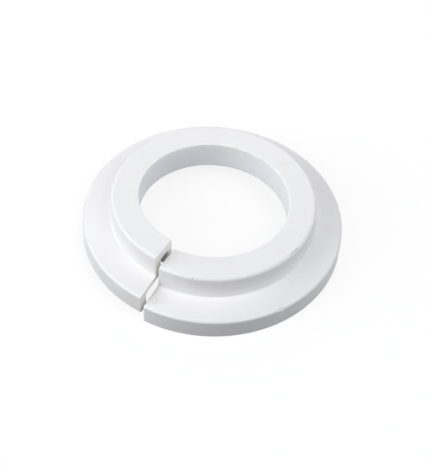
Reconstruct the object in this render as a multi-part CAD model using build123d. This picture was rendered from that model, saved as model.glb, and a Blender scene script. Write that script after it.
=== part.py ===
from build123d import *

import math
import os

# Split pipe rosette: one moulded plastic ring that is sprung open at its slot and closed round a pipe.
# Millimetres, +Z up along the pipe. The origin is on the pipe's axis, in the plane that the rim stands on.
# The slot is on -Y. The ring has taken a set like a spring washer, so its -X end stands above its +X end.

# Bore, which grips the pipe
bore_diameter = 50.0
bore_length = 10.5
bore_wall = 2.5
bore_edge_break = 0.4

# Collar, the tall inner part of the ring
overall_height = 17.4
collar_top_diameter = 68.5
collar_foot_diameter = 69.5
collar_wall = 3.0
collar_plate = 3.2
collar_edge_radius = 1.2
collar_foot_fillet = 0.5

# Flange, which slopes from the collar's foot to the rim
flange_diameter = 87.6
flange_foot_height = 8.9
flange_plate = 2.0

# Rim, the skirt that stands on the wall or floor
rim_height = 7.4
rim_wall = 3.4
rim_edge_radius = 0.9

# Split
slot_width = 0.9
end_offset = 3.75

# Making: stock left in the bore, gap between the blank's ends, spans of its spine and facets of a rounding
bore_allowance = 0.5
blank_gap = 0.2
spine_spans = 24
rounding_facets = 3


def lift(turn):
    """Height that the set adds at an angle from the slot: nothing at the +X end, end_offset at the other.

    A plain helix is leant over until it stands on its low end and on the point opposite the slot.
    """
    share = turn / (2 * math.pi)
    return end_offset * (share - (1 - math.cos(turn)) / 4 + math.sin(turn) / (2 * math.pi))


def flange_top(radius):
    """Height of the flange's sloping top face."""
    share = (radius - collar_foot_diameter / 2) / (flange_diameter / 2 - collar_foot_diameter / 2)
    return flange_foot_height + share * (rim_height - flange_foot_height)


def collar_radius(height):
    """Outer radius of the collar's drafted wall."""
    share = (height - flange_foot_height) / (overall_height - flange_foot_height)
    return collar_foot_diameter / 2 + share * (collar_top_diameter - collar_foot_diameter) / 2


def rounded_corner(before, corner, after, radius):
    """Points on the arc that rounds a corner, from one side to the other, or the corner alone if it is sharp."""
    if radius == 0:
        return [corner]
    side = (before - corner).normalized()
    other_side = (after - corner).normalized()
    half_angle = math.radians(side.get_angle(other_side)) / 2
    setback = radius / math.tan(half_angle)
    centre = corner + (side + other_side).normalized() * (radius / math.sin(half_angle))
    first = corner + side * setback - centre
    last = corner + other_side * setback - centre
    shares = [step / rounding_facets for step in range(rounding_facets + 1)]
    return [centre + (first * (1 - share) + last * share).normalized() * radius for share in shares]


def ring_section():
    """Moulded section, radius by height: rim, flange and collar outside, with a groove up into the collar."""
    rim_radius = flange_diameter / 2
    rim_inside = rim_radius - rim_wall
    bore_radius = bore_diameter / 2
    bore_bottom = overall_height - bore_length
    blank_bore = bore_radius - bore_allowance
    groove_inside = bore_radius + bore_wall
    groove_top = overall_height - collar_plate
    groove_outside_top = collar_radius(groove_top) - collar_wall
    groove_outside_foot = collar_foot_diameter / 2 - collar_wall
    corners = [
        (rim_radius, 0, 0),
        (rim_radius, rim_height, rim_edge_radius),
        (collar_foot_diameter / 2, flange_foot_height, collar_foot_fillet),
        (collar_top_diameter / 2, overall_height, collar_edge_radius),
        (bore_radius + bore_edge_break, overall_height, 0),
        (blank_bore, overall_height - bore_edge_break - bore_allowance, 0),
        (blank_bore, bore_bottom, 0),
        (groove_inside, bore_bottom, 0),
        (groove_inside, groove_top, 0),
        (groove_outside_top, groove_top, 0),
        (groove_outside_foot, flange_top(groove_outside_foot) - flange_plate, 0),
        (rim_inside, flange_top(rim_inside) - flange_plate, 0),
        (rim_inside, 0, 0),
    ]
    places = [Vector(radius, height) for radius, height, _ in corners]
    outline = []
    for number, (_, _, rounding) in enumerate(corners):
        after = places[(number + 1) % len(places)]
        outline += rounded_corner(places[number - 1], places[number], after, rounding)
    return make_face(Polyline(outline, close=True))


def sprung_blank():
    """The section carried once round the axis on the line of the rim's foot, always upright."""
    rim_radius = flange_diameter / 2
    start = blank_gap / 2 / rim_radius
    step = (2 * math.pi - 2 * start) / spine_spans
    turns = [start + step * span for span in range(spine_spans + 1)]
    foot_line = Spline(
        [(rim_radius * math.sin(turn), -rim_radius * math.cos(turn), lift(turn)) for turn in turns]
    )
    guide = Pos(Z=overall_height) * foot_line
    start_plane = Plane(
        origin=(0, 0, lift(start)),
        x_dir=(math.sin(start), -math.cos(start), 0),
        z_dir=(-math.cos(start), -math.sin(start), 0),
    )
    return sweep(start_plane * ring_section(), path=foot_line, binormal=guide.edge())


def split_rosette():
    """The blank with its bore made true and its slot cut.

    The slot was square to the ring before the set, so now it leans as steeply as the ring rises there.
    """
    cut_height = 4 * (overall_height + end_offset)
    rise = end_offset / math.pi / (collar_foot_diameter / 2)
    lean = math.degrees(math.atan(rise))
    bore = Rot(Z=-90) * Cylinder(bore_diameter / 2, cut_height)
    slot = Rot(Y=-lean) * Box(slot_width, flange_diameter, cut_height)
    return sprung_blank() - bore - Pos(Y=-flange_diameter / 2, Z=flange_foot_height) * slot


os.makedirs("parts", exist_ok=True)
export_step(split_rosette(), "parts/split_rosette.step")
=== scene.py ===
import math

import bmesh
import bpy
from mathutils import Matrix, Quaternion, Vector


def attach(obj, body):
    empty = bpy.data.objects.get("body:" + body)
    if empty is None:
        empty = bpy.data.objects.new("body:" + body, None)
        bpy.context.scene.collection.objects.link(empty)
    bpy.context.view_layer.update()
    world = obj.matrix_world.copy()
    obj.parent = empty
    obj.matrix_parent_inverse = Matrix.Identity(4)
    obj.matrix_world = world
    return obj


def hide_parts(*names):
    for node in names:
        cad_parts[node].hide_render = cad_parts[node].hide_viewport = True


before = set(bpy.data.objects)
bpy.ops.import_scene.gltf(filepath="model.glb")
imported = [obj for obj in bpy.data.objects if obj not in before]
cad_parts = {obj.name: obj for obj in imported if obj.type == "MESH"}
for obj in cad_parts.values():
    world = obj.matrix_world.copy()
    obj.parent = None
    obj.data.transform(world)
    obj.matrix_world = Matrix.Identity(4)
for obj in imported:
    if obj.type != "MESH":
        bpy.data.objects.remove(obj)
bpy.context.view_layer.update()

# A split pipe rosette: one white moulded ring, sprung so that its two ends stand at different heights.
# Sizes are in millimetres, and MM turns them into metres. The pipe's axis is Z and the slot is on -Y.
MM = 0.001

# Section of the moulding: the solid's sizes, with its sharp edges eased
BORE_RADIUS = 25.0
BORE_BOTTOM = 6.9
BORE_EDGE = 0.4
COLLAR_HEIGHT = 17.4
COLLAR_TOP_RADIUS = 34.25
COLLAR_FOOT_RADIUS = 34.75
COLLAR_EDGE = 1.2
COLLAR_FOOT_FILLET = 0.5
FLANGE_FOOT_HEIGHT = 8.9
FLANGE_PLATE = 2.0
RIM_RADIUS = 43.8
RIM_HEIGHT = 7.4
RIM_WALL = 3.4
RIM_EDGE = 0.9
RIM_FOOT_EDGE = 0.15
GROOVE_INSIDE = 27.5
GROOVE_WALL = 3.0
GROOVE_TOP = 14.2
HIDDEN_EDGE = 0.3

# Split: its sides lean as steeply as the ring rises there
SLOT_WIDTH = 0.9
END_OFFSET = 3.75
END_EDGE = 0.25
SLOT_RISE = END_OFFSET / math.pi / COLLAR_FOOT_RADIUS

# Marks of use: a turn from the slot in degrees, a radius and a height on the section, and a speck's size
SPECKS = [(334.85, 34.73, 9.4, 0.35), (19.8, 34.3, 16.75, 0.4)]
SCUFF_TURNS = (78.7, 84.1)
SCUFF_PLACE = (33.75, 17.25)
SCUFF_SIZE = 0.3
SCUFF_SPOTS = 9
HOOK_PLACE = (3.7, 40.45, 7.96)
HOOK_RADIUS = 0.85
HOOK_LINE = 0.16
HOOK_FACING = 74
NICK_TURN = 61.5
NICK_LENGTH = 0.9
NICK_WIDTH = 0.45
NICK_DEPTH = 0.6

# White plastic: its colours, the sizes and depths of its patterns in millimetres, and how it takes light
CLOUD_COLOURS = ((0.928, 0.918, 0.926, 1), (0.948, 0.938, 0.942, 1))
CLOUD_SIZE = 14.0
CLOUD_DETAIL = 3
CLOUD_RANGE = (0.35, 0.65)
CUT_COLOUR = (0.9, 0.88, 0.83, 1)
SCRATCH_COLOUR = (0.3, 0.3, 0.3, 1)
SCRATCH_STRENGTH = 0.45
DIRT_COLOUR = (0.25, 0.24, 0.23, 1)
DIRT_STRENGTH = 0.75
SATIN_SIZE = 1.1
SATIN_DETAIL = 4
SATIN_RANGE = (0.3, 0.7)
SATIN_ROUGHNESS = (0.37, 0.5)
PEEL_SIZE = 1.6
PEEL_DEPTH = 0.02
GRAIN_SIZE = 0.25
GRAIN_DEPTH = 0.004
SKIN_DETAIL = 2
SPECULAR_LEVEL = 0.4
SUBSURFACE_WEIGHT = 0.5
SUBSURFACE_DEPTH = 1.2

# Fineness of the mesh
ARC_STEPS = 8
SUPPORT = 0.15
STATIONS = 480
END_STEPS = 4

# Camera, fitted to the outlines of the ring
CAMERA_AZIMUTH = 28.5
CAMERA_ELEVATION = 49.98
CAMERA_ROLL = 3.805
CAMERA_DISTANCE = 450.0
CAMERA_AIM_RIGHT = 1.06
CAMERA_AIM_UP = 0.16
CAMERA_LENS = 101.66
CAMERA_SENSOR = 36.0

# Studio: soft boxes all round the ring, as azimuth from the camera's, elevation, distance, watts and colour
LAMPS = {
    "key_left": (-60, 34, 1000, 4.6, (0.975, 0.985, 1)),
    "low_left": (-90, 14, 1000, 3.75, (0.975, 0.985, 1)),
    "low_right": (90, 14, 1000, 3.0, (0.92, 0.96, 1)),
    "high_right": (45, 56, 1000, 3.95, (0.985, 0.985, 1)),
    "high_left": (-45, 56, 1000, 1.2, (0.97, 0.985, 1)),
    "back": (180, 30, 400, 0.43, (1, 0.99, 0.98)),
}
LAMP_SPREAD = 0.6
SKY_STRENGTH = 0.01
SKY_COLOUR = (0.9, 0.95, 1, 1)
WHITE = (1, 1, 1, 1)

# Floor: half its width in metres, what it gives back to the ring, and how white it looks
FLOOR_REACH = 20.0
FLOOR_BOUNCE = (0.02, 0.02, 0.02, 1)
CARD_BOUNCE = (0.55, 0.62, 0.7, 1)
CARD_EDGE = 1.0
FLOOR_SHADE = (0.16, 0.16, 0.16, 1)
FLOOR_GLOW = 0.86


def lift(turn):
    """Height that the set adds at an angle from the slot: 0 at the +X end, END_OFFSET at the other."""
    share = turn / (2 * math.pi)
    return END_OFFSET * (share - (1 - math.cos(turn)) / 4 + math.sin(turn) / (2 * math.pi))


def flange_top(radius):
    """Height of the flange's sloping top face."""
    share = (radius - COLLAR_FOOT_RADIUS) / (RIM_RADIUS - COLLAR_FOOT_RADIUS)
    return FLANGE_FOOT_HEIGHT + share * (RIM_HEIGHT - FLANGE_FOOT_HEIGHT)


def collar_radius(height):
    """Outer radius of the collar's drafted wall."""
    share = (height - FLANGE_FOOT_HEIGHT) / (COLLAR_HEIGHT - FLANGE_FOOT_HEIGHT)
    return COLLAR_FOOT_RADIUS + share * (COLLAR_TOP_RADIUS - COLLAR_FOOT_RADIUS)


def section_corners():
    """Corners of the section as radius, height and rounding, from the rim's foot over to the groove."""
    rim_inside = RIM_RADIUS - RIM_WALL
    groove_foot = COLLAR_FOOT_RADIUS - GROOVE_WALL
    return [
        (RIM_RADIUS, 0, RIM_FOOT_EDGE),
        (RIM_RADIUS, RIM_HEIGHT, RIM_EDGE),
        (COLLAR_FOOT_RADIUS, FLANGE_FOOT_HEIGHT, COLLAR_FOOT_FILLET),
        (COLLAR_TOP_RADIUS, COLLAR_HEIGHT, COLLAR_EDGE),
        (BORE_RADIUS, COLLAR_HEIGHT, BORE_EDGE),
        (BORE_RADIUS, BORE_BOTTOM, HIDDEN_EDGE),
        (GROOVE_INSIDE, BORE_BOTTOM, HIDDEN_EDGE),
        (GROOVE_INSIDE, GROOVE_TOP, HIDDEN_EDGE),
        (collar_radius(GROOVE_TOP) - GROOVE_WALL, GROOVE_TOP, HIDDEN_EDGE),
        (groove_foot, flange_top(groove_foot) - FLANGE_PLATE, HIDDEN_EDGE),
        (rim_inside, flange_top(rim_inside) - FLANGE_PLATE, HIDDEN_EDGE),
        (rim_inside, 0, HIDDEN_EDGE),
    ]


def rounded_corner(before, corner, after, radius):
    """Points along the arc that rounds a corner, with one more on each side to keep the flat faces flat."""
    side = (before - corner).normalized()
    other_side = (after - corner).normalized()
    half_angle = side.angle(other_side) / 2
    setback = radius / math.tan(half_angle)
    centre = corner + (side + other_side).normalized() * radius / math.sin(half_angle)
    first = corner + side * setback
    last = corner + other_side * setback
    spokes = [(first - centre).slerp(last - centre, step / ARC_STEPS) for step in range(ARC_STEPS + 1)]
    arc = [centre + spoke * radius for spoke in spokes]
    return [first + side * SUPPORT, *arc, last + other_side * SUPPORT]


def ring_section():
    """Outline of the section as points of radius and height, anticlockwise."""
    corners = section_corners()
    places = [Vector((radius, height)) for radius, height, _ in corners]
    outline = []
    for number, (_, _, rounding) in enumerate(corners):
        after = places[(number + 1) % len(places)]
        outline += rounded_corner(places[number - 1], places[number], after, rounding)
    return outline


def inset(outline, depth):
    """The outline moved inwards by a small depth."""
    moved = []
    for number, point in enumerate(outline):
        along = (outline[(number + 1) % len(outline)] - outline[number - 1]).normalized()
        moved.append(point + Vector((-along.y, along.x)) * depth)
    return moved


def ring_stations():
    """Sections along the ring: share of the way round, distance from the slot's face and inset."""
    quarter = [math.pi / 2 * step / END_STEPS for step in range(END_STEPS)]
    edge = [(END_EDGE * (1 - math.cos(angle)), END_EDGE * (1 - math.sin(angle))) for angle in quarter]
    first = [(0, distance, depth) for distance, depth in edge]
    body = [(station / STATIONS, END_EDGE, 0) for station in range(STATIONS + 1)]
    last = [(1, distance, depth) for distance, depth in reversed(edge)]
    return first + body + last


def on_ring(turn, radius, height):
    """A place of the section, carried round the axis and up the rising line, in metres."""
    return Vector((radius * math.sin(turn), -radius * math.cos(turn), height + lift(turn))) * MM


def nick(turn, radius, height):
    """How far the small nick in the rim's top edge pushes a place inwards and down."""
    along = (turn - math.radians(NICK_TURN)) * RIM_RADIUS / NICK_LENGTH
    across = math.hypot(radius - RIM_RADIUS, height - RIM_HEIGHT) / NICK_WIDTH
    return NICK_DEPTH * math.exp(-along ** 2 - across ** 2)


def ring_point(place, share, distance):
    """A point of the section at a share of the way from the slot's low side round to its high side."""
    radius, height = place
    half_slot = SLOT_WIDTH / 2 + distance
    low_side = half_slot - SLOT_RISE * (height - FLANGE_FOOT_HEIGHT)
    high_side = -half_slot - SLOT_RISE * (height + END_OFFSET - FLANGE_FOOT_HEIGHT)
    start = math.asin(low_side / radius)
    end = 2 * math.pi + math.asin(high_side / radius)
    turn = start + share * (end - start)
    push = nick(turn, radius, height)
    return on_ring(turn, radius - push, height - push)


def moulded_ring():
    """The whole ring as one closed mesh with rounded edges. Its cut ends are marked for the material."""
    outline = ring_section()
    built = bmesh.new()
    cut_mark = built.verts.layers.float.new("cut_end")
    rows = []
    for share, distance, depth in ring_stations():
        row = [built.verts.new(ring_point(place, share, distance)) for place in inset(outline, depth)]
        for vertex in row:
            vertex[cut_mark] = 1 - distance / END_EDGE
        rows.append(row)
    for row, next_row in zip(rows, rows[1:]):
        for number in range(len(row)):
            face = built.faces.new((row[number - 1], next_row[number - 1], next_row[number], row[number]))
            face.smooth = True
    built.faces.new(rows[0])
    built.faces.new(reversed(rows[-1]))
    bmesh.ops.recalc_face_normals(built, faces=built.faces)
    bmesh.ops.triangulate(built, faces=[face for face in built.faces if len(face.verts) > 4])
    mesh = bpy.data.meshes.new("rosette_ring")
    built.to_mesh(mesh)
    built.free()
    ring = bpy.data.objects.new("rosette_ring", mesh)
    bpy.context.scene.collection.objects.link(ring)
    return ring


def add_node(owner, kind, inputs, **settings):
    """A node with its settings and inputs. An input is a value, or the socket that feeds it."""
    made = owner.node_tree.nodes.new(kind)
    for name, value in settings.items():
        setattr(made, name, value)
    for name, value in inputs.items():
        if isinstance(value, bpy.types.NodeSocket):
            owner.node_tree.links.new(value, made.inputs[name])
        else:
            made.inputs[name].default_value = value
    return made


def blend(material, factor, first, second):
    """A colour between two others. Sockets 6 and 7 are the mix node's colours, and so is its output 2."""
    mixed = add_node(material, "ShaderNodeMix", {"Factor": factor, 6: first, 7: second}, data_type="RGBA")
    return mixed.outputs[2]


def noise(material, place, size, detail):
    """Cloudy pattern with blots of about a size in millimetres."""
    inputs = {"Vector": place, "Scale": 1 / (size * MM), "Detail": detail}
    return add_node(material, "ShaderNodeTexNoise", inputs).outputs["Fac"]


def spread(material, value, low, high, at_low, at_high):
    """A value carried smoothly from one range to another, and held at its ends."""
    inputs = {"Value": value, "From Min": low, "From Max": high, "To Min": at_low, "To Max": at_high}
    made = add_node(material, "ShaderNodeMapRange", inputs, interpolation_type="SMOOTHSTEP")
    return made.outputs["Result"]


def strongest(material, masks):
    """The strongest of several masks at each place."""
    joined = masks[0]
    for mask in masks[1:]:
        joined = add_node(material, "ShaderNodeMath", {0: joined, 1: mask}, operation="MAXIMUM").outputs[0]
    return joined


def distance_to(material, place, turn, radius, height):
    """Distance to a place on the ring, in metres."""
    spot = on_ring(math.radians(turn), radius, height)
    away = add_node(material, "ShaderNodeVectorMath", {0: place, 1: spot}, operation="DISTANCE")
    return away.outputs["Value"]


def specks(material, place):
    """Mask of two specks and of a scuff along the collar's edge, which is a row of smaller ones."""
    first, last = SCUFF_TURNS
    step = (last - first) / (SCUFF_SPOTS - 1)
    scuff = [(first + step * spot, *SCUFF_PLACE, SCUFF_SIZE) for spot in range(SCUFF_SPOTS)]
    masks = []
    for turn, radius, height, size in SPECKS + scuff:
        away = distance_to(material, place, turn, radius, height)
        masks.append(spread(material, away, 0, size * MM, 1, 0))
    return strongest(material, masks)


def hook_scratch(material, place):
    """Mask of a fine hooked scratch on the flange, near the low end: the part of a circle on one side."""
    turn, radius, height = HOOK_PLACE
    away = distance_to(material, place, turn, radius, height)
    from_line = add_node(material, "ShaderNodeMath", {0: away, 1: HOOK_RADIUS * MM}, operation="SUBTRACT")
    off_line = add_node(material, "ShaderNodeMath", {0: from_line.outputs[0]}, operation="ABSOLUTE")
    circle = spread(material, off_line.outputs[0], 0, HOOK_LINE * MM, 1, 0)
    centre = on_ring(math.radians(turn), radius, height)
    from_centre = add_node(material, "ShaderNodeVectorMath", {0: place, 1: centre}, operation="SUBTRACT")
    facing = {0: from_centre.outputs["Vector"], 1: direction(HOOK_FACING, 0)}
    forward = add_node(material, "ShaderNodeVectorMath", facing, operation="DOT_PRODUCT").outputs["Value"]
    side = spread(material, forward, -HOOK_RADIUS * MM, 0, 0, 1)
    return add_node(material, "ShaderNodeMath", {0: circle, 1: side}, operation="MULTIPLY").outputs[0]


def plastic_colour(material, place):
    """A cloudy white with bare cut ends, a fine scratch and a few dark specks."""
    clouds = spread(material, noise(material, place, CLOUD_SIZE, CLOUD_DETAIL), *CLOUD_RANGE, 0, 1)
    colour = blend(material, clouds, *CLOUD_COLOURS)
    cut = add_node(material, "ShaderNodeAttribute", {}, attribute_name="cut_end").outputs["Fac"]
    colour = blend(material, cut, colour, CUT_COLOUR)
    scratch = spread(material, hook_scratch(material, place), 0, 1, 0, SCRATCH_STRENGTH)
    colour = blend(material, scratch, colour, SCRATCH_COLOUR)
    dirt = spread(material, specks(material, place), 0, 1, 0, DIRT_STRENGTH)
    return blend(material, dirt, colour, DIRT_COLOUR)


def plastic_skin(material, place):
    """Normal of the moulded skin: a soft peel with a finer grain on it."""
    peel_height = noise(material, place, PEEL_SIZE, SKIN_DETAIL)
    peel = add_node(material, "ShaderNodeBump", {"Height": peel_height, "Distance": PEEL_DEPTH * MM})
    grain = {
        "Height": noise(material, place, GRAIN_SIZE, SKIN_DETAIL),
        "Distance": GRAIN_DEPTH * MM,
        "Normal": peel.outputs["Normal"],
    }
    return add_node(material, "ShaderNodeBump", grain).outputs["Normal"]


def white_plastic():
    """White moulded plastic with a satin skin, which lets a little light in below its surface."""
    material = bpy.data.materials.new("white_plastic")
    material.use_nodes = True
    shader = material.node_tree.nodes["Principled BSDF"]
    place = add_node(material, "ShaderNodeTexCoord", {}).outputs["Object"]
    satin = noise(material, place, SATIN_SIZE, SATIN_DETAIL)
    roughness = spread(material, satin, *SATIN_RANGE, *SATIN_ROUGHNESS)
    links = material.node_tree.links
    links.new(plastic_colour(material, place), shader.inputs["Base Color"])
    links.new(roughness, shader.inputs["Roughness"])
    links.new(plastic_skin(material, place), shader.inputs["Normal"])
    shader.inputs["Specular IOR Level"].default_value = SPECULAR_LEVEL
    shader.inputs["Subsurface Weight"].default_value = SUBSURFACE_WEIGHT
    shader.inputs["Subsurface Scale"].default_value = SUBSURFACE_DEPTH * MM
    shader.inputs["Subsurface Radius"].default_value = (1, 1, 1)
    return material


def seen_plainly(owner):
    """Mask of the rays that see the studio as white: from the camera, from mirrors and through glass."""
    ray = add_node(owner, "ShaderNodeLightPath", {}).outputs
    kinds = ("Is Camera Ray", "Is Glossy Ray", "Is Transmission Ray")
    return strongest(owner, [ray[kind] for kind in kinds])


def floor():
    """A pale plain floor that looks white and keeps the ring's shadow.

    A card under the bore throws light back up. The white is only seen, and is never used as a lamp.
    """
    made = bpy.data.objects.new("floor", bpy.data.meshes.new("floor"))
    corners = [(-FLOOR_REACH, -FLOOR_REACH, 0), (FLOOR_REACH, -FLOOR_REACH, 0)]
    corners += [(FLOOR_REACH, FLOOR_REACH, 0), (-FLOOR_REACH, FLOOR_REACH, 0)]
    made.data.from_pydata(corners, [], [(0, 1, 2, 3)])
    bpy.context.scene.collection.objects.link(made)
    material = bpy.data.materials.new("floor")
    material.cycles.emission_sampling = "NONE"
    material.use_nodes = True
    material.node_tree.nodes.clear()
    place = add_node(material, "ShaderNodeTexCoord", {}).outputs["Object"]
    from_axis = add_node(material, "ShaderNodeVectorMath", {0: place}, operation="LENGTH").outputs["Value"]
    in_bore = spread(material, from_axis, (BORE_RADIUS - CARD_EDGE) * MM, BORE_RADIUS * MM, 1, 0)
    bounce = blend(material, in_bore, FLOOR_BOUNCE, CARD_BOUNCE)
    dull = add_node(material, "ShaderNodeBsdfDiffuse", {"Color": bounce})
    pale = add_node(material, "ShaderNodeBsdfDiffuse", {"Color": FLOOR_SHADE})
    glow = add_node(material, "ShaderNodeEmission", {"Color": WHITE, "Strength": FLOOR_GLOW})
    white = add_node(material, "ShaderNodeAddShader", {0: pale.outputs[0], 1: glow.outputs[0]})
    mixed = {0: seen_plainly(material), 1: dull.outputs[0], 2: white.outputs[0]}
    surface = add_node(material, "ShaderNodeMixShader", mixed)
    add_node(material, "ShaderNodeOutputMaterial", {"Surface": surface.outputs[0]})
    made.data.materials.append(material)


def sky():
    """A dim even sky, which the camera and mirrors see as white."""
    made = bpy.data.worlds.new("studio")
    bpy.context.scene.world = made
    made.cycles.sampling_method = "NONE"
    made.use_nodes = True
    made.node_tree.nodes.clear()
    dim = add_node(made, "ShaderNodeBackground", {"Color": SKY_COLOUR, "Strength": SKY_STRENGTH})
    white = add_node(made, "ShaderNodeBackground", {"Color": WHITE, "Strength": 1})
    mixed = {0: seen_plainly(made), 1: dim.outputs[0], 2: white.outputs[0]}
    surface = add_node(made, "ShaderNodeMixShader", mixed)
    add_node(made, "ShaderNodeOutputWorld", {"Surface": surface.outputs[0]})


def direction(azimuth, elevation):
    """Unit vector from the origin towards an azimuth, counted from -Y towards +X, and an elevation."""
    turn = math.radians(azimuth)
    height = math.radians(elevation)
    return Vector((math.sin(turn) * math.cos(height), -math.cos(turn) * math.cos(height), math.sin(height)))


def lamp(name, azimuth, elevation, distance, power, colour):
    """A square soft box that looks at the ring."""
    data = bpy.data.lights.new(name, "AREA")
    data.shape = "SQUARE"
    data.size = LAMP_SPREAD * distance * MM
    data.energy = power
    data.color = colour
    made = bpy.data.objects.new(name, data)
    bpy.context.scene.collection.objects.link(made)
    away = direction(CAMERA_AZIMUTH + azimuth, elevation)
    made.location = away * distance * MM
    made.rotation_mode = "QUATERNION"
    made.rotation_quaternion = (-away).to_track_quat("-Z", "Y")


def camera():
    """The photograph's camera."""
    data = bpy.data.cameras.new("camera")
    data.lens = CAMERA_LENS
    data.sensor_width = CAMERA_SENSOR
    made = bpy.data.objects.new("camera", data)
    bpy.context.scene.collection.objects.link(made)
    away = direction(CAMERA_AZIMUTH, CAMERA_ELEVATION)
    roll = Quaternion((0, 0, 1), math.radians(CAMERA_ROLL))
    facing_origin = (-away).to_track_quat("-Z", "Y") @ roll
    made.location = away * CAMERA_DISTANCE * MM
    aim = facing_origin @ Vector((CAMERA_AIM_RIGHT, CAMERA_AIM_UP, 0)) * MM
    made.rotation_mode = "QUATERNION"
    made.rotation_quaternion = (aim - made.location).to_track_quat("-Z", "Y") @ roll
    bpy.context.scene.camera = made


ring = moulded_ring()
ring.data.materials.append(white_plastic())
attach(ring, "root")
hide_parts("split_rosette")

floor()
sky()
for name, settings in LAMPS.items():
    lamp(name, *settings)
camera()
bpy.context.scene.view_settings.view_transform = "Standard"
